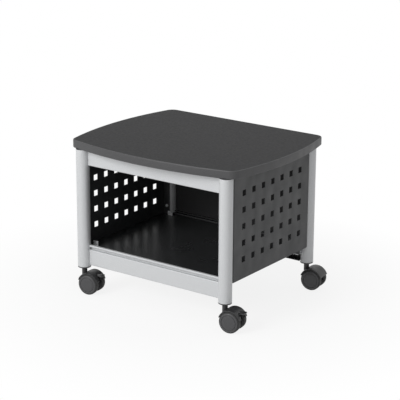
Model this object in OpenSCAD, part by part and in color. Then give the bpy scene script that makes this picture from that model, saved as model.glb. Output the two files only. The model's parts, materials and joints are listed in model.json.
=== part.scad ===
// Mobile printer stand: a bowed top board on four round posts, with folded rails,
// two perforated side panels, a plain back panel, one shelf and four twin-wheel casters.
// Millimetres, +Z up, +X to the right and -Y to the front. The floor is z = 0.

/* [Top board] */
// Width across the middle of the bowed sides
top_w = 514; // [490:1:560]
// Depth from the crown of the bowed front to the straight back
top_d = 419; // [400:1:460]
// Thickness of the board
top_t = 19; // [16:0.5:30]
// Rise of the front edge's arc over the full width
front_bow = 38; // [20:1:44]
// Rise of each side's arc over the full depth
side_bow = 31; // [15:1:36]
// Radius of the four corners
corner_r = 22; // [12:1:30]
// Thickness of the edge band
band_t = 2.5; // [1:0.1:5]

/* [Stand] */
// Height from the floor to the top of the board
stand_h = 380; // [330:1:420]
// Foot of the posts, above the top of the wheels
caster_rise = 12.5; // [8:0.5:14]
// Outer diameter of the posts
post_d = 32; // [28:0.5:34]
// Wall of the posts
post_wall = 1.5; // [1:0.1:2.5]
// Post centres, in from the widest point of the sides
side_inset = 49; // [44:1:60]
// Front post centres, behind the crown of the front edge
front_inset = 39.5; // [36:0.5:55]
// Rear post centres, ahead of the back edge
rear_inset = 30.5; // [24:0.5:45]
// Thickness of all folded sheet steel
sheet_t = 1.5; // [1:0.1:2]

/* [Rails] */
// Height of the two top rails
top_rail_h = 41; // [28:1:50]
// Depth of the top rails' upper flange
top_flange = 25; // [20:1:30]
// Depth of all rails' lower flange
low_flange = 20; // [12:1:24]
// Lower edge of the lower rails, above the foot of the posts
rail_rise = 6.5; // [3:0.5:20]
// Height of the lower rails' face, up to the groove
low_face_h = 39.5; // [30:0.5:44]
// Height of the groove above the face
groove_h = 6.5; // [5:0.5:9]
// Depth of that groove
groove_d = 8; // [3:0.5:9]
// Height of the lip above the groove
lip_h = 5; // [4:0.5:12]
// Depth of the lip's top
lip_d = 6; // [4:0.5:12]

/* [Side panels] */
// Lower edge of the panels, above the lower edge of the lower rails
panel_rise = 37.5; // [28:0.5:40]
// Panel faces, outside the post centres
panel_out = 10; // [6:0.5:14]
// Width of the panels' end and top flanges
panel_flange = 18; // [15:0.5:20]
// Width of the panels' lower flange
sill_flange = 12; // [8:0.5:16]
// Side of one square hole
hole_size = 14; // [8:0.5:18]
// Hole pitch along the panel
hole_pitch_y = 39; // [24:0.5:42]
// Hole pitch up the panel
hole_pitch_z = 39.5; // [24:0.5:40]
// Columns of holes
hole_cols = 7; // [3:1:7]
// Rows of holes
hole_rows = 5; // [2:1:5]

/* [Back panel] */
// Depth of the back panel's upper fold, which is screwed under the rear top rail
back_fold = 12; // [11:0.5:16]

/* [Shelf] */
// Depth of the shelf's side flanges, which stand on the panels' lower flanges
shelf_side = 5; // [3:0.5:6.5]
// Depth of the shelf's front, rear and corner flanges
shelf_flange = 25; // [18:1:30]

/* [Brackets and screws] */
// Width of a corner bracket's upright leg
bracket_w = 14; // [14:1:20]
// Height of that leg
bracket_h = 38; // [34:1:44]
// Thickness of the bracket
bracket_t = 2; // [1.5:0.1:3]
// Rise of the bracket above the shelf
bracket_rise = 11; // [8:1:20]
// Bracket's face on the shelf, inward of the posts' surface
bracket_reach = 10; // [7:0.5:14]
// Shank diameter of every screw
screw_d = 4; // [3:0.5:4.5]
// Head diameter of every screw
head_d = 8; // [6:0.5:9]
// Head height of every screw
head_h = 2.4; // [1.5:0.1:3]

/* [Casters] */
// Outer diameter of the wheels
wheel_d = 51; // [46:1:52]
// Width of one wheel
wheel_w = 16; // [14:0.5:20]
// Thickness of the tyre
tread_t = 2.7; // [1.5:0.1:4]
// Axle centre, behind the swivel axis
trail = 20; // [18:0.5:26]
// Direction in which the casters trail, turned from +X toward +Y
caster_yaw = 8; // [-45:1:45]
// Diameter of the stem
stem_d = 8; // [6:0.5:9]
// Length of the stem inside its socket
stem_grip = 34; // [20:1:50]
// Diameter of the axle
axle_d = 6; // [4:0.5:8]
// Width of the hood's web between the wheels
web_w = 12; // [10:0.5:16]
// Width of the hood's guard over the wheels
guard_w = 41; // [30:1:46]
// Thickness of that guard
guard_t = 2.5; // [1.5:0.1:3.5]
// Diameter of the hood's neck
neck_d = 13; // [12:0.5:16]
// Length of the brake pedal's tread
pedal_len = 11.5; // [5:0.5:18]
// Width of that tread
pedal_w = 18; // [14:0.5:24]
// Thickness of that tread
pedal_t = 3; // [2:0.1:4]
// Diameter of the pedal's pin
pin_d = 3; // [2:0.1:4]

/* [Hidden] */
$fn = 72;

// Colours
silver = "#d3d5d7";
black = "#2b2c2e";
laminate = "#4b4c4e";
charcoal = "#454648";
plastic = "#4a4b4d";
rubber = "#2a2a2b";
zinc = "#c2c5c8";

// Clearances: running fits, screw holes, and pieces that are welded, pushed in or laid together
run_gap = 0.05;
screw_gap = 0.1;
seat_gap = 0.1;
// Overshoot of every cut past the face that it opens
cut = 1;

// Where the posts stand
post_x = top_w / 2 - side_inset;
front_y = -top_d / 2 + front_inset;
rear_y = top_d / 2 - rear_inset;
mid_y = (front_y + rear_y) / 2;
post_r = post_d / 2;
// The four corners: which way is outward on x and on y
corners = [[-1, -1], [1, -1], [-1, 1], [1, 1]];
function post_at(side, end) = [side * post_x, end < 0 ? front_y : rear_y];

// Heights
top_under = stand_h - top_t;
plug_flange = 2.5;
cap_flange = 2;
foot_h = wheel_d + caster_rise;
tube_z = foot_h + plug_flange;
tube_h = top_under - cap_flange - tube_z;
low_rail_z = foot_h + rail_rise;
groove_z = low_rail_z + low_face_h;
lip_z = groove_z + groove_h;
low_rail_top = lip_z + lip_h;
panel_z = low_rail_z + panel_rise;
sill_top = panel_z + sheet_t;
shelf_h = sill_top + shelf_side;

// Top board outline: arcs for the front and the sides, a line for the back
half_w = top_w / 2;
half_d = top_d / 2;
front_r = (half_w * half_w + front_bow * front_bow) / (2 * front_bow);
side_r = (half_d * half_d + side_bow * side_bow) / (2 * side_bow);
front_centre = [0, front_r - half_d];
side_centre = [half_w - side_r, 0];

// Crossing of two circles on the left hand of the way from the first centre to the second
function crossing(c0, r0, c1, r1) =
    let (d = norm(c1 - c0), u = (c1 - c0) / d)
    let (a = (r0 * r0 - r1 * r1 + d * d) / (2 * d))
    c0 + u * a + [-u[1], u[0]] * sqrt(r0 * r0 - a * a);
function unit(v) = v / norm(v);

// Centres of the right-hand corner rounds
front_corner = crossing(front_centre, front_r - corner_r, side_centre, side_r - corner_r);
rear_corner_y = half_d - corner_r;
rear_corner = [side_centre[0] + sqrt(pow(side_r - corner_r, 2) - pow(rear_corner_y, 2)), rear_corner_y];

// One corner's sharp tip, between the two directions in which its arc starts and ends
module corner_tip(centre, from, to, r) {
    far = 3 * corner_r;
    difference() {
        polygon([centre, centre + from * far, centre + (from + to) * far, centre + to * far]);
        translate(centre) circle(r = r, $fn = 96);
    }
}

// Outline of the top, drawn in by inset all round
module top_outline(inset) {
    difference() {
        intersection() {
            translate(front_centre) circle(r = front_r - inset, $fn = 720);
            translate(side_centre) circle(r = side_r - inset, $fn = 720);
            translate([-side_centre[0], 0]) circle(r = side_r - inset, $fn = 720);
            translate([-top_w, -top_d]) square([2 * top_w, top_d + half_d - inset]);
        }
        for (side = [0, 1]) mirror([side, 0]) {
            corner_tip(front_corner, unit(front_corner - front_centre),
                unit(front_corner - side_centre), corner_r - inset);
            corner_tip(rear_corner, unit(rear_corner - side_centre), [0, 1], corner_r - inset);
        }
    }
}

// Screws that hold the top: three in each top rail and two in each panel's top flange
rail_screw_x = post_x / 2;
rail_screw_in = top_flange / 2;
panel_screw_y = (rear_y - front_y) / 4;
panel_x = post_x + panel_out;
panel_screw_in = panel_flange / 2;
top_screw_spots = [
    for (x = [-rail_screw_x, 0, rail_screw_x]) [x, front_y + rail_screw_in],
    for (x = [-rail_screw_x, 0, rail_screw_x]) [x, rear_y - rail_screw_in],
    for (side = [-1, 1], y = [-panel_screw_y, panel_screw_y])
        [side * (panel_x - panel_screw_in), mid_y + y]
];
top_screw_l = 12;

module tabletop() {
    color(laminate) difference() {
        translate([0, 0, top_under]) linear_extrude(top_t) top_outline(band_t);
        for (spot = top_screw_spots)
            translate([spot[0], spot[1], top_under - cut])
                cylinder(d = screw_d + 2 * screw_gap, h = top_screw_l + 2 * cut);
    }
}

module edge_band() {
    color(charcoal) translate([0, 0, top_under]) linear_extrude(top_t) difference() {
        top_outline(0);
        top_outline(band_t - seat_gap);
    }
}

// Panel screws: three up each end flange, into the posts
panel_top = top_under;
panel_screw_margin = 28;
panel_screw_z = [
    panel_z + panel_screw_margin,
    (panel_z + panel_top) / 2,
    panel_top - panel_screw_margin
];
panel_screw_l = 8;
// Inner faces of the panels' end flanges, from the post centres
flange_in = post_r + seat_gap + sheet_t;

module post(side, end) {
    at = post_at(side, end);
    color(silver) translate([at[0], at[1], 0]) difference() {
        translate([0, 0, tube_z]) cylinder(d = post_d, h = tube_h);
        translate([0, 0, tube_z - cut]) cylinder(d = post_d - 2 * post_wall, h = tube_h + 2 * cut);
        for (z = panel_screw_z) translate([0, 0, z]) rotate([end * 90, 0, 0])
            cylinder(d = screw_d + 2 * screw_gap, h = post_d);
    }
}

plug_d = post_d - 2 * post_wall - 2 * seat_gap;
cap_plug_h = 14;

module post_caps() {
    color(plastic) for (corner = corners) {
        at = post_at(corner[0], corner[1]);
        translate([at[0], at[1], top_under - cap_flange]) {
            cylinder(d = post_d, h = cap_flange);
            translate([0, 0, -cap_plug_h]) cylinder(d = plug_d, h = cap_plug_h);
        }
    }
}

stem_room = 2;
socket_wall = 4;

module caster_sockets() {
    color(plastic) for (corner = corners) {
        at = post_at(corner[0], corner[1]);
        translate([at[0], at[1], foot_h]) difference() {
            union() {
                cylinder(d = post_d, h = plug_flange);
                cylinder(d = plug_d, h = stem_grip + stem_room + socket_wall);
            }
            translate([0, 0, -cut]) cylinder(d = stem_d + 2 * run_gap, h = stem_grip + stem_room + cut);
        }
    }
}

// Sheet folded along a path of square corners: path holds [depth, height] of the outer face's corners
module folded(path) {
    for (i = [0 : len(path) - 2]) {
        low = [min(path[i][0], path[i + 1][0]), min(path[i][1], path[i + 1][1])];
        high = [max(path[i][0], path[i + 1][0]), max(path[i][1], path[i + 1][1])];
        translate(low) square(high - low + [sheet_t, sheet_t]);
    }
}

// A rail between two posts: the section stands with its face at depth 0 and its flanges behind it
module rail(end, path, screwed) {
    rail_half = panel_x - panel_flange - seat_gap;
    y = end < 0 ? front_y : rear_y;
    difference() {
        translate([0, y, 0]) mirror([0, end < 0 ? 0 : 1, 0]) rotate([90, 0, 90])
            translate([0, 0, -rail_half]) linear_extrude(2 * rail_half) folded(path);
        for (side = [-1, 1]) translate([side * post_x, y, 0])
            cylinder(r = post_r + seat_gap, h = stand_h);
        if (screwed) for (spot = top_screw_spots)
            translate([spot[0], spot[1], top_under - sheet_t - cut])
                cylinder(d = screw_d + 2 * screw_gap, h = sheet_t + 2 * cut);
    }
}

top_rail_path = [
    [top_flange - sheet_t, top_under - sheet_t], [0, top_under - sheet_t],
    [0, top_under - top_rail_h], [low_flange - sheet_t, top_under - top_rail_h]
];
low_rail_path = [
    [low_flange - sheet_t, low_rail_z], [0, low_rail_z],
    [0, groove_z - sheet_t], [groove_d, groove_z - sheet_t],
    [groove_d, lip_z], [0, lip_z],
    [0, low_rail_top - sheet_t], [lip_d - sheet_t, low_rail_top - sheet_t]
];

module front_top_rail() { color(silver) rail(-1, top_rail_path, true); }
module front_lower_rail() { color(silver) rail(-1, low_rail_path, false); }
module rear_lower_rail() { color(black) rail(1, low_rail_path, false); }

// Back panel: a sheet between the rear rails, folded inward over the lower rail's lip and under the upper one
back_half = post_x - post_r - seat_gap;
back_z = low_rail_top + seat_gap;
back_top = top_under - top_rail_h - seat_gap;
back_path = [
    [lip_d - sheet_t, back_z], [0, back_z],
    [0, back_top - sheet_t], [back_fold - sheet_t, back_top - sheet_t]
];
back_screw_l = 6;
back_screw_spots = [
    for (x = [-rail_screw_x, 0, rail_screw_x]) [x, rear_y - (back_fold + sheet_t) / 2, back_top - sheet_t]
];

module back_screw_holes() {
    for (spot = back_screw_spots) translate([spot[0], spot[1], spot[2] - cut])
        cylinder(d = screw_d + 2 * screw_gap, h = back_screw_l);
}

module rear_top_rail() {
    color(black) difference() {
        rail(1, top_rail_path, true);
        back_screw_holes();
    }
}

module back_panel() {
    color(black) difference() {
        translate([-back_half, rear_y, 0]) mirror([0, 1, 0]) rotate([90, 0, 90])
            linear_extrude(2 * back_half) folded(back_path);
        back_screw_holes();
    }
}

// Side panel as a pan: face outward, flanges at both ends, along the top and along the sill
panel_front = front_y + post_r + seat_gap;
panel_rear = rear_y - post_r - seat_gap;
panel_h = panel_top - panel_z;
hole_mid_z = (panel_z + panel_top) / 2;
hole_y0 = mid_y - (hole_cols - 1) / 2 * hole_pitch_y;
hole_z0 = hole_mid_z - (hole_rows - 1) / 2 * hole_pitch_z;

module panel(side) {
    length = panel_rear - panel_front;
    color(black) mirror([side < 0 ? 1 : 0, 0, 0]) difference() {
        union() {
            translate([panel_x - sheet_t, panel_front, panel_z]) cube([sheet_t, length, panel_h]);
            for (y = [panel_front, panel_rear - sheet_t])
                translate([panel_x - panel_flange, y, panel_z]) cube([panel_flange, sheet_t, panel_h]);
            translate([panel_x - panel_flange, panel_front, panel_top - sheet_t])
                cube([panel_flange, length, sheet_t]);
            translate([panel_x - sill_flange, panel_front, panel_z]) cube([sill_flange, length, sheet_t]);
        }
        for (col = [0 : hole_cols - 1], row = [0 : hole_rows - 1])
            translate([panel_x - sheet_t / 2, hole_y0 + col * hole_pitch_y, hole_z0 + row * hole_pitch_z])
                cube([sheet_t + 2 * cut, hole_size, hole_size], center = true);
        for (y = [-panel_screw_y, panel_screw_y])
            translate([panel_x - panel_screw_in, mid_y + y, panel_top - sheet_t - cut])
                cylinder(d = screw_d + 2 * screw_gap, h = sheet_t + 2 * cut);
        for (z = panel_screw_z) translate([post_x, panel_front - cut, z]) rotate([-90, 0, 0])
            cylinder(d = screw_d + 2 * screw_gap, h = length + 2 * cut);
    }
}

module left_panel() { panel(-1); }
module right_panel() { panel(1); }

// Corner bracket: an upright leg beside the shelf's corner and a short leg welded to the post
// Room between the brackets and the panel or shelf edge beside them
bracket_room = 1;
bracket_far = panel_x - panel_flange - bracket_room;
bracket_back = post_r + bracket_reach;
bracket_near = bracket_far - bracket_w;
bracket_z = shelf_h + bracket_rise - bracket_h;
bracket_screw_x = bracket_far - bracket_w / 2;
shelf_screw_drop = 14;
shelf_screw_z = shelf_h - shelf_screw_drop;
shelf_screw_l = 10;
side_leg_h = shelf_h - sheet_t - bracket_z;

module corner_brackets() {
    color(zinc) for (corner = corners) mirror([corner[0] < 0 ? 1 : 0, 0, 0])
        translate([0, corner[1] < 0 ? front_y : rear_y, 0]) mirror([0, corner[1] < 0 ? 0 : 1, 0])
            difference() {
                union() {
                    translate([bracket_near, bracket_back - bracket_t, bracket_z])
                        cube([bracket_w, bracket_t, bracket_h]);
                    translate([bracket_far - bracket_t, 0, bracket_z])
                        cube([bracket_t, bracket_back, side_leg_h]);
                }
                translate([post_x, 0, bracket_z - cut])
                    cylinder(r = post_r + seat_gap, h = bracket_h + 2 * cut);
                translate([bracket_screw_x, 0, shelf_screw_z]) rotate([-90, 0, 0])
                    cylinder(d = screw_d + 2 * screw_gap, h = bracket_back + cut);
            }
}

// Shelf: a sheet with its edges turned down, notched at the corners for the posts and brackets
shelf_half = panel_x - sheet_t - seat_gap;
shelf_front = front_y + groove_d + sheet_t + seat_gap;
shelf_rear = rear_y - groove_d - sheet_t - seat_gap;
notch_x = bracket_near - bracket_room;
notch_front = front_y + bracket_back;
notch_rear = rear_y - bracket_back;

module shelf_outline(inset) {
    translate([-notch_x + inset, shelf_front + inset])
        square([2 * (notch_x - inset), shelf_rear - shelf_front - 2 * inset]);
    translate([-shelf_half + inset, notch_front + inset])
        square([2 * (shelf_half - inset), notch_rear - notch_front - 2 * inset]);
}

module shelf() {
    sill_room = 2;
    side_x = panel_x - sill_flange - sill_room;
    color(black) difference() {
        translate([0, 0, shelf_h - shelf_flange]) linear_extrude(shelf_flange) shelf_outline(0);
        translate([0, 0, shelf_h - shelf_flange - cut])
            linear_extrude(shelf_flange - sheet_t + cut) shelf_outline(sheet_t);
        for (side = [0, 1]) mirror([side, 0, 0])
            translate([side_x, front_y, shelf_h - shelf_flange - cut])
                cube([shelf_half, rear_y - front_y, sill_top - shelf_h + shelf_flange + cut]);
        for (side = [-1, 1]) translate([side * bracket_screw_x, front_y, shelf_screw_z]) rotate([-90, 0, 0])
            cylinder(d = screw_d + 2 * screw_gap, h = rear_y - front_y);
    }
}

// Pan-head screw: its head starts at the origin and lies below, its shank points up
head_slope = 0.8;
drive_w = 1.2;

module screw(length) {
    translate([0, 0, -head_h]) difference() {
        cylinder(d1 = head_d - 2 * head_slope, d2 = head_d, h = head_h);
        translate([-drive_w / 2, -head_d, -cut]) cube([drive_w, 2 * head_d, head_h / 2 + cut]);
    }
    cylinder(d = screw_d, h = length);
}

module top_screws() {
    color(zinc) for (spot = top_screw_spots)
        translate([spot[0], spot[1], top_under - sheet_t]) screw(sheet_t + top_screw_l);
}

module panel_screws() {
    color(zinc) for (corner = corners, z = panel_screw_z)
        translate([corner[0] * post_x, corner[1] < 0 ? front_y + flange_in : rear_y - flange_in, z])
            rotate([corner[1] < 0 ? 90 : -90, 0, 0]) screw(panel_screw_l);
}

module back_screws() {
    color(zinc) for (spot = back_screw_spots) translate(spot) screw(back_screw_l);
}

module shelf_screws() {
    color(zinc) for (corner = corners)
        translate([corner[0] * bracket_screw_x,
                corner[1] < 0 ? notch_front - bracket_t : notch_rear + bracket_t, shelf_screw_z])
            rotate([corner[1] * 90, 0, 0]) screw(shelf_screw_l);
}

nut_w = 1.75 * screw_d;
nut_h = 0.8 * screw_d;

module shelf_nuts() {
    color(zinc) for (corner = corners)
        translate([corner[0] * bracket_screw_x, corner[1] < 0 ? notch_front : notch_rear, shelf_screw_z])
            rotate([corner[1] * 90, 0, 0]) translate([0, 0, sheet_t]) difference() {
                cylinder(d = nut_w / cos(30), h = nut_h, $fn = 6);
                translate([0, 0, -cut]) cylinder(d = screw_d + 2 * screw_gap, h = nut_h + 2 * cut);
            }
}

// Casters, each drawn about its swivel axis with the wheels trailing along +X
wheel_r = wheel_d / 2;
axle_z = wheel_r;
rim_r = wheel_r - tread_t;
// Room between a wheel and the web, and between a wheel and the guard
wheel_side_gap = 1.5;
guard_gap = 1;
wheel_in = web_w / 2 + wheel_side_gap;
wheel_out = wheel_in + wheel_w;
guard_in = wheel_r + guard_gap;
guard_out = guard_in + guard_t;
// Lower edge of the guard above the axle, and the neck's room below the post
guard_rise = 9;
swivel_gap = 1.5;
guard_z = axle_z + guard_rise;
neck_top = foot_h - swivel_gap;
// Stem: floor below it in the neck, and the collar on top of the neck
stem_floor = 2;
stem_z = guard_z + stem_floor;
collar_h = 1.2;
collar_d = stem_d + 4;
// Walls round the axle in the wheels and in the web, and the cover over its ends
hub_wall = 4;
boss_wall = 9;
axle_cover = 4;
hub_r = axle_d / 2 + hub_wall;
boss_r = axle_d / 2 + boss_wall;
axle_half = wheel_out - axle_cover;

module at_caster(side, end) {
    at = post_at(side, end);
    translate([at[0], at[1], 0]) rotate([0, 0, caster_yaw]) children();
}

// A cylinder along the axle's direction, centred between the wheels
module across(x, z, r, width) {
    translate([x, 0, z]) rotate([90, 0, 0]) cylinder(r = r, h = width, center = true, $fn = 96);
}

// A round piece about the axle: its profile is [radius, distance outward from the web]
module about_axle(way) {
    translate([trail, 0, axle_z]) rotate([-90 * way, 0, 0]) rotate_extrude($fn = 96) children();
}

module caster_stem(side, end) {
    tip = 2;
    tip_z = foot_h + stem_grip - tip;
    color(zinc) at_caster(side, end) {
        translate([0, 0, stem_z]) cylinder(d = stem_d, h = tip_z - stem_z);
        translate([0, 0, tip_z]) cylinder(d1 = stem_d, d2 = stem_d - tip, h = tip);
        translate([0, 0, neck_top]) cylinder(d = collar_d, h = collar_h);
    }
}

// Pedal: its pivot from the axle, its eye, and its tread above the pivot and outside the guard
pivot_back = 14;
pivot_up = 19;
pivot_x = trail + pivot_back;
pivot_z = axle_z + pivot_up;
eye_wall = 3;
eye_r = pin_d / 2 + eye_wall;
step_up = 3;
step_gap = 1.5;
step_z = pivot_z + step_up;
step_x = trail + sqrt(pow(guard_out + step_gap, 2) - pow(step_z - axle_z, 2));
// Slot for the pedal in the web, the ears that hold its pin, and its window in the guard
ear_t = 1.7;
ear_wall = 2.5;
pedal_gap = 0.4;
slot_w = web_w - 2 * ear_t;
slot_room = 2.5;
window_side = 1;
window_up = 4.5;

module hood(side, end, braked) {
    color(plastic) at_caster(side, end) difference() {
        union() {
            cylinder(d = neck_d, h = neck_top);
            across(trail, axle_z, guard_out, guard_w);
        }
        // Wheel wells on both sides of the web
        for (way = [-1, 1]) translate([0, way * (web_w + guard_w) / 2, 0])
            across(trail, axle_z, guard_in, guard_w);
        // Everything below the guard's edge, but for the web's boss round the axle
        difference() {
            translate([-wheel_d, -wheel_d, -wheel_d]) cube([3 * wheel_d, 2 * wheel_d, wheel_d + guard_z]);
            across(trail, axle_z, boss_r, web_w);
        }
        translate([0, 0, stem_z]) cylinder(d = stem_d + 2 * seat_gap, h = foot_h);
        across(trail, axle_z, axle_d / 2 + run_gap, 2 * web_w);
        if (braked) {
            translate([pivot_x - eye_r - slot_room, -slot_w / 2, pivot_z - eye_r - slot_room])
                cube([wheel_d, slot_w, foot_h]);
            translate([pivot_x + pin_d / 2 + ear_wall, -pedal_w / 2 - window_side, 0])
                cube([wheel_d, pedal_w + 2 * window_side, step_z + pedal_t / 2 + window_up]);
            across(pivot_x, pivot_z, pin_d / 2 + run_gap, 2 * web_w);
        }
    }
}

module caster_axle(side, end) {
    color(zinc) at_caster(side, end) across(trail, axle_z, axle_d / 2, 2 * axle_half);
}

// Wheel: hub and rim joined by the domed disc that closes the outer side
dome = 1.2;
rim_bevel = 1;
rim_in = wheel_in + 1;
rim_out = wheel_out - dome - rim_bevel;

module wheel(side, end, way) {
    disc_t = 3;
    rim_t = 3;
    end_room = 1;
    bore_r = axle_d / 2 + run_gap;
    face = wheel_out - dome;
    color(plastic) at_caster(side, end) about_axle(way) polygon([
        [bore_r, wheel_in], [hub_r, wheel_in], [hub_r, face - disc_t],
        [rim_r - rim_t, face - disc_t], [rim_r - rim_t, rim_in], [rim_r, rim_in],
        [rim_r, rim_out], [rim_r - rim_bevel, face], [rim_r / 2, wheel_out], [0, wheel_out],
        [0, axle_half + end_room], [bore_r, axle_half + end_room]
    ]);
}

module tread(side, end, way) {
    shoulder = 1.2;
    set_in = 0.4;
    low = rim_in + set_in;
    high = rim_out - set_in;
    color(rubber) at_caster(side, end) about_axle(way) polygon([
        [rim_r + run_gap, low], [wheel_r - shoulder, low], [wheel_r, low + shoulder],
        [wheel_r, high - shoulder], [wheel_r - shoulder, high], [rim_r + run_gap, high]
    ]);
}

module brake_pedal(side, end) {
    arm_w = slot_w - 2 * pedal_gap;
    color(plastic) at_caster(side, end) difference() {
        union() {
            across(pivot_x, pivot_z, eye_r, arm_w);
            translate([pivot_x, -arm_w / 2, step_z - pedal_t / 2])
                cube([step_x + pedal_len - pivot_x, arm_w, pedal_t]);
            translate([step_x, -pedal_w / 2, step_z - pedal_t / 2]) cube([pedal_len, pedal_w, pedal_t]);
        }
        across(pivot_x, pivot_z, pin_d / 2 + run_gap, web_w);
    }
}

module pedal_pin(side, end) {
    color(zinc) at_caster(side, end) across(pivot_x, pivot_z, pin_d / 2, web_w);
}

tabletop();
edge_band();
post(-1, -1);  // front_left_post
post(1, -1);  // front_right_post
post(-1, 1);  // rear_left_post
post(1, 1);  // rear_right_post
post_caps();
caster_sockets();
front_top_rail();
front_lower_rail();
rear_top_rail();
rear_lower_rail();
left_panel();
right_panel();
back_panel();
shelf();
corner_brackets();
top_screws();
panel_screws();
back_screws();
shelf_screws();
shelf_nuts();
caster_stem(-1, -1);  // fl_caster_stem
hood(-1, -1, true);  // fl_caster_hood
caster_axle(-1, -1);  // fl_caster_axle
wheel(-1, -1, -1);  // fl_wheel_near
tread(-1, -1, -1);  // fl_tread_near
wheel(-1, -1, 1);  // fl_wheel_far
tread(-1, -1, 1);  // fl_tread_far
brake_pedal(-1, -1);  // fl_brake_pedal
pedal_pin(-1, -1);  // fl_pedal_pin
caster_stem(1, -1);  // fr_caster_stem
hood(1, -1, true);  // fr_caster_hood
caster_axle(1, -1);  // fr_caster_axle
wheel(1, -1, -1);  // fr_wheel_near
tread(1, -1, -1);  // fr_tread_near
wheel(1, -1, 1);  // fr_wheel_far
tread(1, -1, 1);  // fr_tread_far
brake_pedal(1, -1);  // fr_brake_pedal
pedal_pin(1, -1);  // fr_pedal_pin
caster_stem(-1, 1);  // rl_caster_stem
hood(-1, 1, false);  // rl_caster_hood
caster_axle(-1, 1);  // rl_caster_axle
wheel(-1, 1, -1);  // rl_wheel_near
tread(-1, 1, -1);  // rl_tread_near
wheel(-1, 1, 1);  // rl_wheel_far
tread(-1, 1, 1);  // rl_tread_far
caster_stem(1, 1);  // rr_caster_stem
hood(1, 1, false);  // rr_caster_hood
caster_axle(1, 1);  // rr_caster_axle
wheel(1, 1, -1);  // rr_wheel_near
tread(1, 1, -1);  // rr_tread_near
wheel(1, 1, 1);  // rr_wheel_far
tread(1, 1, 1);  // rr_tread_far
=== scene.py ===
import json

import bmesh
import bpy
import numpy as np
from mathutils import Matrix, Vector


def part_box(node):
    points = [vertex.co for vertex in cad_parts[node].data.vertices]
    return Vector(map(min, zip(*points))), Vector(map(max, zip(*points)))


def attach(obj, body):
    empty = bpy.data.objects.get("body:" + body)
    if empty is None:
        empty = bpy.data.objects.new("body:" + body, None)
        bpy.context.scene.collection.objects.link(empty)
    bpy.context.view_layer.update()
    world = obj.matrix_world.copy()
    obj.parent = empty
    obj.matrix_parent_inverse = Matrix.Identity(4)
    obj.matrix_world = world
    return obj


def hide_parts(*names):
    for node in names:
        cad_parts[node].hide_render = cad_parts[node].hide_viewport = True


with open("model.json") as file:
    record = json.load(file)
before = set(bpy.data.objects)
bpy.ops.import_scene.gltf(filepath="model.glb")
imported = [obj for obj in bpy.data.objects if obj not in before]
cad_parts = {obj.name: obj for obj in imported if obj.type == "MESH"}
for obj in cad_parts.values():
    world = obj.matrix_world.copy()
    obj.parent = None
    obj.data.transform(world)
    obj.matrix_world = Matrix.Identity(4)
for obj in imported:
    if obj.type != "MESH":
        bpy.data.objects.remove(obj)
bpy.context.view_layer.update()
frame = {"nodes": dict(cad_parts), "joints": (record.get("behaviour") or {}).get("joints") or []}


# Posts: four round steel tubes, 32 mm across, sawn square and powder-coated silver.
# The casters' plugs close them below and plastic caps close them under the top.

def quads(rows, cols, wrap_rows=False, wrap_cols=False):
    """Corner numbers of each cell in a rows x cols grid; a wrapped side joins its last line to its first."""
    r, c = np.meshgrid(
        np.arange(rows if wrap_rows else rows - 1),
        np.arange(cols if wrap_cols else cols - 1),
        indexing="ij",
    )
    r2, c2 = (r + 1) % rows, (c + 1) % cols
    return np.stack([r * cols + c, r * cols + c2, r2 * cols + c2, r2 * cols + c], -1).reshape(-1, 4)


def piece(name, shells, finish, body, nodes=(), sharp=35, closed=True, weld=1e-6):
    """One object from shells of points and faces: points nearer than weld merged, closed shells turned
    outward, and edges over sharp degrees kept crisp. It rides on its body and stands for the named nodes."""
    mesh = bpy.data.meshes.new(name)
    starts = np.cumsum([0] + [points.size // 3 for points, _ in shells])
    points = np.concatenate([p.reshape(-1, 3) for p, _ in shells])
    faces = np.concatenate([f + start for (_, f), start in zip(shells, starts)])
    mesh.from_pydata(points.tolist(), [], faces.tolist())
    bm = bmesh.new()
    bm.from_mesh(mesh)
    bmesh.ops.remove_doubles(bm, verts=bm.verts, dist=weld)
    if closed:
        bmesh.ops.recalc_face_normals(bm, faces=bm.faces)
    bm.to_mesh(mesh)
    bm.free()
    mesh.shade_smooth()
    mesh.set_sharp_from_angle(angle=np.radians(sharp))
    mesh.materials.append(finish)
    thing = bpy.data.objects.new(name, mesh)
    bpy.context.scene.collection.objects.link(thing)
    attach(thing, body)
    if nodes:
        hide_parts(*nodes)
    return thing


def rounded(corners, steps=6):
    """A closed outline from corners of two coordinates and an ease. It passes each corner on the curve
    corner + ease * ((1 - t)^2 * before + t^2 * after), from the side before it to the side after it."""
    rows = np.array(corners, float)
    corner, ease = rows[:, :2], rows[:, 2:]
    before = np.roll(corner, 1, 0) - corner
    after = np.roll(corner, -1, 0) - corner
    before /= np.linalg.norm(before, axis=1, keepdims=True)
    after /= np.linalg.norm(after, axis=1, keepdims=True)
    t = np.linspace(0, 1, steps)[:, None, None]
    curve = corner + ease * ((1 - t) ** 2 * before + t ** 2 * after)
    return curve.transpose(1, 0, 2).reshape(-1, 2)


def turned(outline, spot, axis=(0, 0, 1), around=72):
    """Turns an outline of [radius, height] about an axis through spot: the radius goes round, the height
    runs along the axis."""
    along = Vector(axis).normalized()
    side = along.orthogonal().normalized()
    three = np.array([side, along.cross(side), along])
    radius, height = np.asarray(outline, float).T
    a = np.linspace(0, 2 * np.pi, around, endpoint=False)[:, None]
    local = np.stack(np.broadcast_arrays(radius * np.cos(a), radius * np.sin(a), height), -1)
    return np.array(spot) + local @ three, quads(around, len(height), True, True)


def wire(made, kind, values=None, **sources):
    """Adds a node, sets plain values on its sockets, and links its named sockets from other outputs."""
    node = made.node_tree.nodes.new(kind)
    for socket, value in (values or {}).items():
        node.inputs[socket].default_value = value
    for socket, source in sources.items():
        made.node_tree.links.new(source, node.inputs[socket])
    return node


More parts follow.
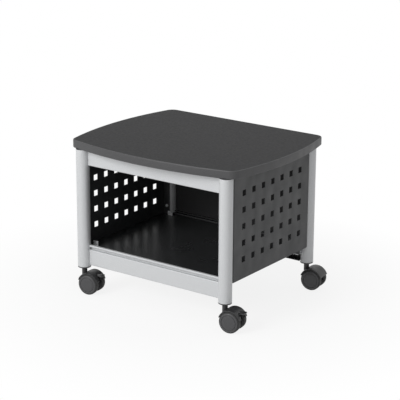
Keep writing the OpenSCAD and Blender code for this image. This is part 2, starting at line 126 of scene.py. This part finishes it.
def grain(made, scale, detail=3.0, stretch=(1, 1, 1)):
    """Noise on Object coordinates, drawn out along the axes where stretch is small."""
    place = wire(made, "ShaderNodeTexCoord").outputs["Object"]
    place = wire(made, "ShaderNodeMapping", {"Scale": stretch}, Vector=place).outputs["Vector"]
    return wire(made, "ShaderNodeTexNoise", {"Scale": scale, "Detail": detail}, Vector=place).outputs["Fac"]


def shades(made, source, stops):
    """A colour ramp over noise: stops are (position, colour)."""
    node = wire(made, "ShaderNodeValToRGB", Fac=source)
    while len(node.color_ramp.elements) < len(stops):
        node.color_ramp.elements.new(0.5)
    for element, (position, colour) in zip(node.color_ramp.elements, stops):
        element.position = position
        element.color = (*colour, 1)
    return node.outputs["Color"]


def between(made, source, low, high):
    """Carries the middle of a noise, 0.3 to 0.7, onto low to high."""
    values = {"From Min": 0.3, "From Max": 0.7, "To Min": low, "To Max": high}
    return wire(made, "ShaderNodeMapRange", values, Value=source).outputs["Result"]


def coating(name, colour, roughness, relief, metallic=0.0, gloss=0.5):
    """A surface from three noises: colour is (noise, stops), roughness is (noise, low, high), and relief is
    (noise, depth in metres). Each noise is the settings of grain; gloss is how much the surface mirrors."""
    made = bpy.data.materials.new(name)
    made.use_nodes = True
    shader = made.node_tree.nodes["Principled BSDF"]
    shader.inputs["Metallic"].default_value = metallic
    shader.inputs["Specular IOR Level"].default_value = gloss
    tone = shades(made, grain(made, *colour[0]), colour[1])
    dull = between(made, grain(made, *roughness[0]), *roughness[1:])
    raised = wire(made, "ShaderNodeBump", {"Distance": relief[1]}, Height=grain(made, *relief[0]))
    for socket, source in (("Base Color", tone), ("Roughness", dull), ("Normal", raised.outputs["Normal"])):
        made.node_tree.links.new(source, shader.inputs[socket])
    return made


silver_coat = coating(
    "silver_coat",
    colour=((2600, 2), [(0.35, (0.50, 0.51, 0.52)), (0.65, (0.66, 0.67, 0.68))]),
    roughness=((22, 2), 0.34, 0.44),
    relief=((420, 3), 0.00004),
    metallic=0.15,
)
post_edge = 0.0006
post_wall = 0.0015
post_spots = {}
for corner in ("front_left", "front_right", "rear_left", "rear_right"):
    low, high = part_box(corner + "_post")
    post_spots[corner] = ((low.x + high.x) / 2, (low.y + high.y) / 2, 0)
    post_r = (high.x - low.x) / 2
    bore_r = post_r - post_wall
    tube = rounded([
        (bore_r, low.z, post_edge),
        (post_r, low.z, post_edge),
        (post_r, high.z, post_edge),
        (bore_r, high.z, post_edge),
    ])
    piece(corner + "_tube", [turned(tube, post_spots[corner])], silver_coat, "frame",
          [corner + "_post"])


# Plugs and caps: dark nylon pushed into the tube ends. Each plug's flange shows as a thin ring at the
# foot of its post and takes the caster's stem; each cap lies between its post and the top.

nylon = coating(
    "dark_nylon",
    colour=((900, 4), [(0.3, (0.018, 0.018, 0.019)), (0.7, (0.030, 0.030, 0.032))]),
    roughness=((60, 3), 0.36, 0.52),
    relief=((1500, 2), 0.00003),
)
plug_lip = 0.0025
cap_lip = 0.002
push_fit = 0.0001
stem_bore = 0.00405
crisp_edge = 0.0002
fine_edge = 0.0003
mould_edge = 0.0006
foot, plug_roof = (end.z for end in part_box("caster_sockets"))
cap_foot, cap_top = (end.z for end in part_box("post_caps"))
plug_r = bore_r - push_fit
plug = rounded([
    (stem_bore, foot, fine_edge),
    (post_r, foot, mould_edge),
    (post_r, foot + plug_lip, fine_edge),
    (plug_r, foot + plug_lip, crisp_edge),
    (plug_r, plug_roof, mould_edge),
    (stem_bore, plug_roof, fine_edge),
])
cap = rounded([
    (0, cap_foot, 0),
    (plug_r, cap_foot, mould_edge),
    (plug_r, cap_top - cap_lip, crisp_edge),
    (post_r, cap_top - cap_lip, fine_edge),
    (post_r, cap_top, fine_edge),
    (0, cap_top, 0),
])
piece("post_plugs", [turned(plug, spot) for spot in post_spots.values()], nylon, "frame",
      ["caster_sockets"])
piece("post_top_caps", [turned(cap, spot) for spot in post_spots.values()], nylon, "frame",
      ["post_caps"])


# Rails: 1.5 mm sheet steel, folded, with ends coped to the posts and welded there. The two front rails
# are silver like the posts, the two rear rails are black like the panels.

def folded(corners, bend=0.0012, steps=6, beside=0.0002):
    """Outline of sheet steel along a path of square corners. Each corner is an arc of the bend radius with
    a line close beside it on either flat; the two faces lie half a sheet left and right of the path."""
    path = np.array(corners, float)
    way = np.diff(path, axis=0)
    way /= np.linalg.norm(way, axis=1, keepdims=True)
    left = np.stack([-way[:, 1], way[:, 0]], 1)
    turn = np.linspace(0, np.pi / 2, steps)[:, None]
    middle, normal = [path[:1]], [left[:1]]
    for at, w0, w1, n0, n1 in zip(path[1:-1], way[:-1], way[1:], left[:-1], left[1:]):
        hand = np.sign(w0[0] * w1[1] - w0[1] * w1[0])
        n = np.cos(turn) * n0 + np.sin(turn) * n1
        arc = at - w0 * bend + hand * bend * (n0 - n)
        middle += [arc[:1] - w0 * beside, arc, arc[-1:] + w1 * beside]
        normal += [n0[None], n, n1[None]]
    middle = np.concatenate(middle + [path[-1:]])
    normal = np.concatenate(normal + [left[-1:]])
    return np.concatenate([middle + normal * half_sheet, (middle - normal * half_sheet)[::-1]])


def coped(outline, face_y, inward, half, stations=9):
    """Carries a folded outline of [depth, height] along x. Each point runs until it all but meets the round
    post, at post_x - sqrt(gap_r^2 - depth^2), or to the plain half-length where that is less."""
    depth, height = outline.T
    gap_r = post_r + push_fit
    reach = np.minimum(half, post_x - np.sqrt(np.maximum(gap_r ** 2 - depth ** 2, 0)))
    share = np.linspace(-1, 1, stations)[:, None]
    points = np.stack(np.broadcast_arrays(share * reach, face_y + inward * depth, height), -1)
    n = len(depth)
    i = np.arange(n // 2 - 1)
    end = np.stack([i, i + 1, n - 2 - i, n - 1 - i], 1)
    return points, np.concatenate([quads(stations, n, False, True), end, end + (stations - 1) * n])


black_tones = [(0.3, (0.022, 0.023, 0.024)), (0.7, (0.036, 0.037, 0.039))]
black_coat = coating(
    "black_coat",
    colour=((1400, 3), black_tones),
    roughness=((25, 2), 0.42, 0.55),
    relief=((700, 4), 0.00006),
)
sheet = 0.0015
half_sheet = sheet / 2
low_flange = 0.020
post_x, front_y, _ = post_spots["front_right"]
rear_y = post_spots["rear_right"][1]
top_rail_low, top_rail_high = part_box("front_top_rail")
rail_half = top_rail_high.x
upper_flange = top_rail_high.y - front_y
top_rail = folded([
    (upper_flange, top_rail_high.z - half_sheet),
    (half_sheet, top_rail_high.z - half_sheet),
    (half_sheet, top_rail_low.z + half_sheet),
    (low_flange, top_rail_low.z + half_sheet),
])
low_rail_low, low_rail_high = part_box("front_lower_rail")
lip_h = 0.005
lip_d = 0.006
groove_h = 0.0065
groove_d = 0.008
lip_z = low_rail_high.z - lip_h
groove_z = lip_z - groove_h
low_rail = folded([
    (low_flange, low_rail_low.z + half_sheet),
    (half_sheet, low_rail_low.z + half_sheet),
    (half_sheet, groove_z - half_sheet),
    (groove_d + half_sheet, groove_z - half_sheet),
    (groove_d + half_sheet, lip_z + half_sheet),
    (half_sheet, lip_z + half_sheet),
    (half_sheet, low_rail_high.z - half_sheet),
    (lip_d, low_rail_high.z - half_sheet),
])
for name, outline in (("top_rail", top_rail), ("lower_rail", low_rail)):
    front = coped(outline, front_y, 1, rail_half)
    piece("front_" + name + "_folded", [front], silver_coat, "frame", ["front_" + name])
    rear = coped(outline, rear_y, -1, rail_half)
    piece("rear_" + name + "_folded", [rear], black_coat, "frame", ["rear_" + name])


# Side panels: black sheet steel with a grid of square punched holes, folded inward along all four edges
# and screwed through the end folds into the posts.

def edge_lines(flange, bend=0.002, steps=6, beside=0.0004):
    """Lines over a folded edge, from its tip round the bend to the face: distances along and inward."""
    a = np.linspace(0, np.pi / 2, steps)
    along = np.concatenate([[0, 0], bend * (1 - np.cos(a)), [bend + beside]])
    inward = np.concatenate([[flange, bend + beside], bend * (1 - np.sin(a)), [0]])
    return along, inward


def pan(low, high, middles, side):
    """A perforated face with folded edges as one grid: lines across and up, each with its inward distance.
    A cell is left out where two folds would meet at a corner, and inside every hole."""
    lines = []
    for axis, (first, last) in ((1, (end_fold, end_fold)), (2, (sill_fold, end_fold))):
        along0, inward0 = edge_lines(first)
        along1, inward1 = edge_lines(last)
        holes = np.concatenate([middles[axis] - hole / 2, middles[axis] + hole / 2])
        place = np.concatenate([low[axis] + along0, np.sort(holes), (high[axis] - along1)[::-1]])
        inward = np.concatenate([inward0, np.zeros(len(holes)), inward1[::-1]])
        centre = (place[1:] + place[:-1]) / 2
        fold = (inward[1:] > 0) | (inward[:-1] > 0)
        punched = (np.abs(centre[:, None] - middles[axis]) < hole / 2).any(1) & ~fold
        lines.append((place, inward, fold, punched))
    (y, y_in, y_fold, y_hole), (z, z_in, z_fold, z_hole) = lines
    outer = max(abs(low[0]), abs(high[0]))
    x = side * (outer - (z_in[:, None] + y_in))
    points = np.stack(np.broadcast_arrays(x, y, z[:, None]), -1).reshape(-1, 3)
    gone = (z_fold[:, None] & y_fold) | (z_hole[:, None] & y_hole)
    faces = quads(len(z), len(y))[~gone.ravel()]
    used, faces = np.unique(faces, return_inverse=True)
    faces = faces.reshape(-1, 4)
    return points[used], faces if side > 0 else faces[:, ::-1]


def spaced(count, pitch):
    """Places of a row of holes about its middle."""
    return pitch * (np.arange(count) - (count - 1) / 2)


def thicken(shell, wall_t, ease_w, crease=50):
    """Gives an open shell its wall, inward from the outer face, and eases edges over crease degrees."""
    wall = shell.modifiers.new("wall", "SOLIDIFY")
    wall.thickness = wall_t
    wall.offset = -1
    ease = shell.modifiers.new("ease", "BEVEL")
    ease.width = ease_w
    ease.segments = 2
    ease.limit_method = "ANGLE"
    ease.angle_limit = np.radians(crease)


hole = 0.014
hole_cols = 7
hole_rows = 5
hole_pitch_y = 0.039
hole_pitch_z = 0.0395
hole_ease = 0.00025
end_fold = 0.018
sill_fold = 0.012
for hand, side in (("left", -1), ("right", 1)):
    low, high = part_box(hand + "_panel")
    middles = {
        1: (low.y + high.y) / 2 + spaced(hole_cols, hole_pitch_y),
        2: (low.z + high.z) / 2 + spaced(hole_rows, hole_pitch_z),
    }
    panel = piece(hand + "_panel_pan", [pan(low, high, middles, side)], black_coat, "frame",
                  [hand + "_panel"], closed=False)
    thicken(panel, sheet, hole_ease)


# Back panel: plain sheet between the rear rails, folded over the lower rail's lip and
# under the upper rail, where three screws hold it. Its matt black coat is darker than the other black parts:
# that is painted shade, which keeps the bay dark where it shows through the side panels' holes.

painted_shade_coat = coating(
    "matt_black_coat",
    # Darker than the black coat of the panels and rails: painted shade for the inside of the bay
    colour=((1400, 3), [(0.3, (0.008, 0.008, 0.009)), (0.7, (0.014, 0.014, 0.015))]),
    roughness=((25, 2), 0.66, 0.69),
    relief=((700, 4), 0.00006),
)
back_low, back_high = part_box("back_panel")
back_fold = back_high.y - back_low.y
back = folded([
    (lip_d, back_low.z + half_sheet),
    (half_sheet, back_low.z + half_sheet),
    (half_sheet, back_high.z - half_sheet),
    (back_fold, back_high.z - half_sheet),
])
piece("back_panel_folded", [coped(back, rear_y, -1, back_high.x)], painted_shade_coat, "frame",
      ["back_panel"])


# Shelf and its fixings: a glossy black folded sheet on the panels' lower folds. A plated bracket at
# each corner is welded to the post and screwed to the shelf, and plated screws hold panels and top.

def dress(finish, *names):
    """Gives a finish to solids that keep their own shape."""
    for name in names:
        mesh = frame["nodes"][name].data
        mesh.materials.clear()
        mesh.materials.append(finish)


gloss_coat = coating(
    "gloss_black_coat",
    colour=((1400, 3), black_tones),
    roughness=((12, 2), 0.27, 0.31),
    relief=((900, 2), 0.000002),
)
zinc = coating(
    "zinc_plate",
    colour=((300, 3), [(0.3, (0.68, 0.69, 0.70)), (0.7, (0.80, 0.81, 0.82))]),
    roughness=((80, 3), 0.28, 0.42),
    relief=((900, 2, (1, 1, 0.08)), 0.00002),
    metallic=0.25,
)
dress(gloss_coat, "shelf")
dress(zinc, "corner_brackets", "top_screws", "panel_screws", "back_screws", "shelf_screws", "shelf_nuts")


# Top: a 19 mm board with charcoal laminate on its faces, bowed at the front and sides, with rounded
# corners and an edge band of a lighter charcoal glued on all round.

def arc_points(centre, r, first, last, count):
    """Outline points on an arc, as centre, outward direction and radius."""
    a = np.linspace(first, last, count)
    way = np.stack([np.cos(a), np.sin(a)], 1)
    return np.broadcast_to(centre, way.shape), way, np.full(count, r)


def heading(way):
    """Angle of a direction in the plan."""
    return np.arctan2(way[1], way[0])


def top_outline(front_steps=40, corner_steps=16, side_steps=36, back_steps=11):
    """The right half of the top from the middle of the front to the middle of the back, then its mirror
    image: front arc, corner, side arc, corner, straight back. Each point is centre + direction * radius,
    and a corner's centre lies corner_r inside both its neighbours."""
    front_r = (half_w ** 2 + front_bow ** 2) / (2 * front_bow)
    side_r = (half_d ** 2 + side_bow ** 2) / (2 * side_bow)
    front, side = np.array([0, front_r - half_d]), np.array([half_w - side_r, 0])
    gap = side - front
    d = np.linalg.norm(gap)
    a = ((front_r - corner_r) ** 2 - (side_r - corner_r) ** 2 + d ** 2) / (2 * d)
    u = gap / d
    near = front + u * a + np.array([-u[1], u[0]]) * np.sqrt((front_r - corner_r) ** 2 - a ** 2)
    far_y = half_d - corner_r
    far = np.array([side[0] + np.sqrt((side_r - corner_r) ** 2 - far_y ** 2), far_y])
    back_x = np.linspace(far[0], 0, back_steps + 1)[1:]
    back = (
        np.stack([back_x, np.zeros(back_steps)], 1),
        np.tile([0.0, 1.0], (back_steps, 1)),
        np.full(back_steps, half_d),
    )
    runs = [
        arc_points(front, front_r, -np.pi / 2, heading(near - front), front_steps),
        arc_points(near, corner_r, heading(near - front), heading(near - side), corner_steps),
        arc_points(side, side_r, heading(near - side), heading(far - side), side_steps),
        arc_points(far, corner_r, heading(far - side), np.pi / 2, corner_steps),
        back,
    ]
    centre, way, r = (np.concatenate(part) for part in zip(*runs))
    flip = np.array([-1, 1])
    keep = slice(-2, 0, -1)
    return (
        np.concatenate([centre, centre[keep] * flip]),
        np.concatenate([way, way[keep] * flip]),
        np.concatenate([r, r[keep]]),
    )


def ringed(rings):
    """Carries a closed list of [inset, height] round the top's outline."""
    inset, height = np.asarray(rings, float).T
    flat = outline_centre + outline_way * (outline_r - inset[:, None])[..., None]
    z = np.broadcast_to(height[:, None], flat.shape[:2])
    return np.concatenate([flat, z[..., None]], -1)


laminate = coating(
    "charcoal_laminate",
    colour=((1800, 5), [(0.32, (0.014, 0.014, 0.015)), (0.68, (0.034, 0.034, 0.035))]),
    roughness=((160, 3), 0.46, 0.54),
    relief=((1300, 3), 0.00002),
    gloss=0.06,
)
edge_trim = coating(
    "charcoal_edge",
    colour=((700, 4), [(0.3, (0.042, 0.042, 0.044)), (0.7, (0.064, 0.064, 0.066))]),
    roughness=((40, 3), 0.38, 0.50),
    relief=((1100, 2), 0.00003),
)
board_low, board_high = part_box("edge_band")
half_w = board_high.x
half_d = board_high.y
under, over = board_low.z, board_high.z
front_bow = 0.038
side_bow = 0.031
corner_r = 0.022
band_t = 0.0025
glue_edge = 0.0001
under_edge = 0.0015
upper_edge = 0.0022
outline_centre, outline_way, outline_r = top_outline()
count = len(outline_r)
skin = ringed([(band_t, under), (band_t, over)])
# Rings of the board's faces, from the rim in to the middle
shrink = np.array([1, 0.995, 0.7, 0.35, 0])[:, None, None]
upright = np.array([0, 0, 1])
lower = skin[0] * np.where(upright, 1, shrink)
upper = skin[1] * np.where(upright, 1, shrink)
board = np.concatenate([lower[::-1], upper])
piece("top_board", [(board, quads(len(board), count, False, True))], laminate, "frame",
      ["tabletop"])
band = rounded([
    (band_t - push_fit, under, glue_edge),
    (0, under, under_edge),
    (0, over, upper_edge),
    (band_t - push_fit, over, glue_edge),
])
piece("top_edge", [(ringed(band), quads(len(band), count, True, True))], edge_trim, "frame",
      ["edge_band"])


# Wheels: two to a caster, moulded in nylon with a ring in the face, each with a soft tread round its rim.
# They turn by themselves on one plated axle.

wheel_nylon = coating(
    "wheel_nylon",
    colour=((800, 4), [(0.3, (0.042, 0.042, 0.044)), (0.7, (0.061, 0.061, 0.064))]),
    roughness=((70, 3), 0.34, 0.48),
    relief=((1300, 2), 0.00003),
)
tread_rubber = coating(
    "soft_tread",
    colour=((500, 4), [(0.3, (0.012, 0.012, 0.012)), (0.7, (0.024, 0.024, 0.024))]),
    roughness=((120, 3), 0.55, 0.75),
    relief=((800, 3), 0.00005),
)
wheel_r = 0.0255
tread_t = 0.0027
rim_r = wheel_r - tread_t
wheel_in = 0.0075
wheel_out = 0.0235
rim_in = 0.0085
rim_out = 0.0213
rim_wall = 0.003
rim_bevel = 0.0012
rim_edge = 0.0005
bed_edge = 0.0004
disc_in = 0.0193
disc_fillet = 0.0008
hub_r = 0.007
axle_bore = 0.00305
axle_end = 0.0205
face = 0.0223
crown_ease = 0.003
ring_out = 0.0188
ring_in = 0.0170
ring_depth = 0.0006
ring_slope = 0.0005
ring_swell = 0.0004
wheel_section = rounded([
    (axle_bore, wheel_in, crisp_edge),
    (hub_r, wheel_in, crisp_edge),
    (hub_r, disc_in, disc_fillet),
    (rim_r - rim_wall, disc_in, disc_fillet),
    (rim_r - rim_wall, rim_in, rim_edge),
    (rim_r, rim_in, bed_edge),
    (rim_r, rim_out, rim_edge),
    (rim_r - rim_bevel, face, mould_edge),
    (ring_out, face + ring_swell, crisp_edge),
    (ring_out - ring_slope, face - ring_depth, crisp_edge),
    (ring_in + ring_slope, face - ring_depth, crisp_edge),
    (ring_in, face + ring_swell, crisp_edge),
    (rim_r / 2, wheel_out, crown_ease),
    (0, wheel_out, 0),
    (0, axle_end, 0),
    (axle_bore, axle_end, crisp_edge),
], steps=4)
tread_low = 0.0089
tread_high = 0.0209
tread_ease = 0.0022
tread_fit = 0.00005
tread_bed = rim_r + tread_fit
tread_section = rounded([
    (tread_bed, tread_low, crisp_edge),
    (wheel_r, tread_low, tread_ease),
    (wheel_r, tread_high, tread_ease),
    (tread_bed, tread_high, crisp_edge),
], steps=7)
joints = {joint["name"]: joint for joint in frame["joints"]}
up = np.array([0, 0, 1])
casters = {}
for spot in ("fl", "fr", "rl", "rr"):
    axle = np.array(joints[spot + "_near_spin"]["pos_m"])
    across = np.array(joints[spot + "_near_spin"]["axis"])
    casters[spot] = {"axle": axle, "across": across, "ways": np.array([np.cross(across, up), across, up])}
    for place, way in (("near", -1), ("far", 1)):
        body = spot + "_" + place + "_wheel"
        disc = turned(wheel_section, axle, way * across)
        piece(spot + "_disc_" + place, [disc], wheel_nylon, body, [spot + "_wheel_" + place])
        tyre = turned(tread_section, axle, way * across)
        piece(spot + "_tyre_" + place, [tyre], tread_rubber, body, [spot + "_tread_" + place])
    dress(zinc, spot + "_caster_axle")


# Hoods: a nylon moulding over each pair of wheels, with a web between them that holds the axle and a neck
# that swivels in its post's plug on a plated stem. The front ones have a window and two ears for a pedal.

def plate(outline, middle, low, high, ease=0.0004):
    """A flat plate as rings from its lower middle to its upper middle: the outline drawn in by ease at both
    faces and full between them. Columns are the outline's two and the level."""
    inward = np.array(middle) - outline
    inward /= np.linalg.norm(inward, axis=1, keepdims=True)
    small = outline + inward * ease
    centre = np.broadcast_to(middle, outline.shape)
    rings = np.stack([centre, small, outline, outline, small, centre])
    levels = np.array([low, low, low + ease, high - ease, high, high])[:, None, None]
    points = np.concatenate([rings, np.broadcast_to(levels, (*rings.shape[:2], 1))], -1)
    return points, quads(len(rings), len(outline), False, True)


def arc(r, first, last, steps=24):
    """Points on a circle about the axle, seen along it, between two angles in degrees."""
    a = np.radians(np.linspace(first, last, steps))
    return np.stack([r * np.cos(a), r * np.sin(a)], 1)


def placed(shell, caster, columns=(0, 1, 2)):
    """Carries a shell from a caster's own lines to its place: behind the axle, along the axle, and up. The
    columns say which of the shell's own three go that way."""
    points, faces = shell
    return caster["axle"] + points[..., list(columns)] @ caster["ways"], faces


def guard(braked, rows_below=12, rows_above=40, side_lines=8, window_lines=9):
    """The hood's cover as a grid of angle and distance along the axle. Its radius eases in toward both
    sides, guard_r - guard_drop * (along / guard_half)^4, and cells in the pedal's window are left out."""
    window = np.degrees(np.arccos(window_back / guard_r))
    low = np.degrees(np.arcsin(guard_low / guard_r))
    below = np.linspace(low, window, rows_below)
    angle = np.radians(np.concatenate([below, np.linspace(window, 180 - low, rows_above)[1:]]))
    edge = np.linspace(window_half, guard_half, side_lines)
    inner = np.linspace(-window_half, window_half, window_lines)[1:-1]
    along = np.concatenate([-edge[::-1], inner, edge])
    r = guard_r - guard_drop * (along / guard_half) ** 4
    a = angle[:, None]
    points = np.stack(np.broadcast_arrays(r * np.cos(a), along, r * np.sin(a)), -1)
    faces = quads(len(angle), len(along))
    if braked:
        row, column = np.divmod(np.arange(len(faces)), len(along) - 1)
        middle = (along[column] + along[column + 1]) / 2
        faces = faces[(row >= rows_below - 1) | (np.abs(middle) > window_half)]
    used, faces = np.unique(faces, return_inverse=True)
    return points.reshape(-1, 3)[used], faces.reshape(-1, 4)


def web(braked):
    """Plates of the hood between the wheels: the cover's half round with a boss about the axle. With a brake
    it stops short of the pedal, and two ears with a strip between them hold the pin."""
    web_r = guard_r - guard_wall / 2
    low = np.degrees(np.arcsin(guard_low / web_r))
    boss = np.degrees(np.arcsin(guard_low / boss_r))
    start = np.degrees(np.arccos(slot_back / web_r)) if braked else low
    right = [[slot_back, guard_low]] if braked else np.empty((0, 2))
    half = np.concatenate([right, arc(web_r, start, 180 - low), arc(boss_r, 180 - boss, 360 + boss)])
    plates = [plate(half, web_middle, -web_half, web_half)]
    if braked:
        reach = np.degrees(np.arccos(window_back / web_r))
        ear = np.concatenate([[[slot_back, guard_low], [window_back, guard_low]], arc(web_r, reach, start)])
        strip = np.array([(slot_back, guard_low), (window_back, guard_low), (window_back, slot_low),
                          (slot_back, slot_low)])
        plates.append(plate(ear, ear_middle, -web_half, -slot_half, fine_edge))
        plates.append(plate(ear, ear_middle, slot_half, web_half, fine_edge))
        plates.append(plate(strip, strip.mean(0), -slot_half, slot_half))
    return plates


guard_r = 0.029
guard_wall = 0.0025
guard_half = 0.0205
guard_drop = 0.0007
guard_ease = 0.0007
guard_low = 0.009
neck_r = 0.0065
neck_gap = 0.0015
neck_edge = 0.0008
stem_hole = 0.0041
stem_floor = 0.002
boss_r = 0.012
web_half = 0.006
web_middle = (0, 0.015)
ear_middle = (0.012, 0.015)
slot_low = 0.012
slot_back = 0.007
slot_half = 0.0043
window_back = 0.018
window_half = 0.010
for spot, caster in casters.items():
    braked = spot[0] == "f"
    neck_low = caster["axle"][2] + guard_low
    neck_high = foot - neck_gap
    neck = rounded([
        (0, neck_low, 0),
        (neck_r, neck_low, mould_edge),
        (neck_r, neck_high, neck_edge),
        (stem_hole, neck_high, fine_edge),
        (stem_hole, neck_low + stem_floor, fine_edge),
        (0, neck_low + stem_floor, 0),
    ])
    swivel = joints[spot + "_swivel"]["pos_m"]
    stand = turned(neck, (swivel[0], swivel[1], 0))
    plates = [placed(part, caster, (0, 2, 1)) for part in web(braked)]
    piece(spot + "_hood_neck", [stand] + plates, nylon, spot + "_caster")
    cover = piece(spot + "_hood_cover", [placed(guard(braked), caster)], nylon, spot + "_caster",
                  [spot + "_caster_hood"], closed=False)
    thicken(cover, guard_wall, guard_ease)
    dress(zinc, spot + "_caster_stem")


# Brake pedals: a nylon step with three grip ridges on each front caster. Its eye turns on a plated pin
# between the hood's ears, and the foot tips it down.

pivot = np.array([0.014, 0.019])
pin_hole = 0.00155
eye_r = 0.0045
eye_edge = 0.0004
arm_half = 0.0039
arm_edge = 0.0005
arm_fillet = 0.001
step_rise = 0.0015
step_t = 0.003
step_low = pivot[1] + step_rise
step_high = step_low + step_t
step_back = 0.0211
step_len = 0.0115
step_end = step_back + step_len
step_half = 0.009
step_edge = 0.0012
step_corner = 0.003
ridge_half = 0.0065
ridge_w = 0.0011
ridge_up = 0.0005
# Three of the marks that divide the step's length in five
ridge_places = np.linspace(step_back, step_end, 6)[2:-1]
eye = rounded([
    (pin_hole, -arm_half, eye_edge),
    (eye_r, -arm_half, eye_edge),
    (eye_r, arm_half, eye_edge),
    (pin_hole, arm_half, eye_edge),
])
tee = rounded([
    (pivot[0], -arm_half, arm_edge),
    (step_back, -arm_half, arm_fillet),
    (step_back, -step_half, step_edge),
    (step_end, -step_half, step_corner),
    (step_end, step_half, step_corner),
    (step_back, step_half, step_edge),
    (step_back, arm_half, arm_fillet),
    (pivot[0], arm_half, arm_edge),
])
step_parts = [plate(tee, (step_back + eye_r / 2, 0), step_low, step_high, mould_edge)]
for x in ridge_places:
    ridge = np.array([(x, -ridge_half), (x + ridge_w, -ridge_half),
                      (x + ridge_w, ridge_half), (x, ridge_half)])
    step_parts.append(plate(ridge, ridge.mean(0), step_high - ridge_up, step_high + ridge_up, crisp_edge))
for spot in ("fl", "fr"):
    caster = casters[spot]
    pin_at = caster["axle"] + np.array([pivot[0], 0, pivot[1]]) @ caster["ways"]
    pedal = [turned(eye, pin_at, caster["across"])] + [placed(part, caster) for part in step_parts]
    piece(spot + "_pedal_step", pedal, nylon, spot + "_pedal", [spot + "_brake_pedal"])
    dress(zinc, spot + "_pedal_pin")


# Studio: a pale floor that fades to white, one large soft lamp in front, and an even dome of light.
# Floor and dome look white to the eye and in gloss, but light the stand more softly than they look.

def looked_at(made, light, white):
    """A value that is white for rays from the eye, off gloss and through glass, and light for all others."""
    rays = wire(made, "ShaderNodeLightPath").outputs
    total = rays["Is Camera Ray"]
    for kind in ("Is Glossy Ray", "Is Transmission Ray"):
        larger = wire(made, "ShaderNodeMath")
        larger.operation = "MAXIMUM"
        made.node_tree.links.new(total, larger.inputs[0])
        made.node_tree.links.new(rays[kind], larger.inputs[1])
        total = larger.outputs[0]
    return wire(made, "ShaderNodeMapRange", {"To Min": light, "To Max": white}, Value=total).outputs["Result"]


scene = bpy.context.scene
scene.view_settings.view_transform = "Standard"
dome_light = 0.42
world = bpy.data.worlds.new("dome")
scene.world = world
world.use_nodes = True
backdrop = world.node_tree.nodes["Background"]
backdrop.inputs["Color"].default_value = (1, 1, 1, 1)
world.node_tree.links.new(looked_at(world, dome_light, 1.0), backdrop.inputs["Strength"])

lamp = bpy.data.lights.new("softbox", "AREA")
lamp.shape = "DISK"
lamp.size = 1.8
lamp.energy = 78
lamp_aim = Vector((0, 0, 0.2))
softbox = bpy.data.objects.new("softbox", lamp)
softbox.location = (-0.8, -3.1, 2.0)
softbox.rotation_euler = (lamp_aim - softbox.location).to_track_quat("-Z", "Y").to_euler()
scene.collection.objects.link(softbox)

floor_half = 20
shadow_reach = 0.3
white_reach = 0.7
glow_near = 0.86
floor_corners = [(-floor_half, -floor_half, 0), (floor_half, -floor_half, 0), (floor_half, floor_half, 0),
                 (-floor_half, floor_half, 0)]
floor_mesh = bpy.data.meshes.new("floor")
floor_mesh.from_pydata(floor_corners, [], [(0, 1, 2, 3)])
floor = bpy.data.objects.new("floor", floor_mesh)
scene.collection.objects.link(floor)
pale = bpy.data.materials.new("pale_floor")
pale.use_nodes = True
ground = pale.node_tree.nodes["Principled BSDF"]
ground.inputs["Base Color"].default_value = (0.9, 0.9, 0.9, 1)
ground.inputs["Roughness"].default_value = 0.9
ground.inputs["Specular IOR Level"].default_value = 0
glow = wire(pale, "ShaderNodeEmission", {"Color": (1, 1, 1, 1), "Strength": 1.0})
away = wire(pale, "ShaderNodeVectorMath", Vector=wire(pale, "ShaderNodeTexCoord").outputs["Object"])
away.operation = "LENGTH"
fade_values = {"From Min": shadow_reach, "From Max": white_reach, "To Min": glow_near, "To Max": 1}
fade = wire(pale, "ShaderNodeMapRange", fade_values, Value=away.outputs["Value"])
share = wire(pale, "ShaderNodeMath")
share.operation = "MULTIPLY"
pale.node_tree.links.new(looked_at(pale, 0, 1), share.inputs[0])
pale.node_tree.links.new(fade.outputs["Result"], share.inputs[1])
blend = wire(pale, "ShaderNodeMixShader", Fac=share.outputs[0])
pale.node_tree.links.new(ground.outputs[0], blend.inputs[1])
pale.node_tree.links.new(glow.outputs[0], blend.inputs[2])
pale.node_tree.links.new(blend.outputs[0], pale.node_tree.nodes["Material Output"].inputs["Surface"])
floor_mesh.materials.append(pale)


# Camera: a long lens at the photograph's viewing angle, turned to the right of the front and looking
# down a little.

camera = bpy.data.cameras.new("camera")
camera.sensor_width = 36
camera.lens = 134.925
turn, tilt, roll = np.radians([35.798, 17.090, 0.318])
viewer = bpy.data.objects.new("camera", camera)
viewer.location = (2.02603, -2.79050, 1.28853)
viewer.rotation_euler = (
    Matrix.Rotation(turn, 3, "Z") @ Matrix.Rotation(np.pi / 2 - tilt, 3, "X") @ Matrix.Rotation(roll, 3, "Z")
).to_euler()
scene.collection.objects.link(viewer)
scene.camera = viewer

bpy.context.view_layer.update()
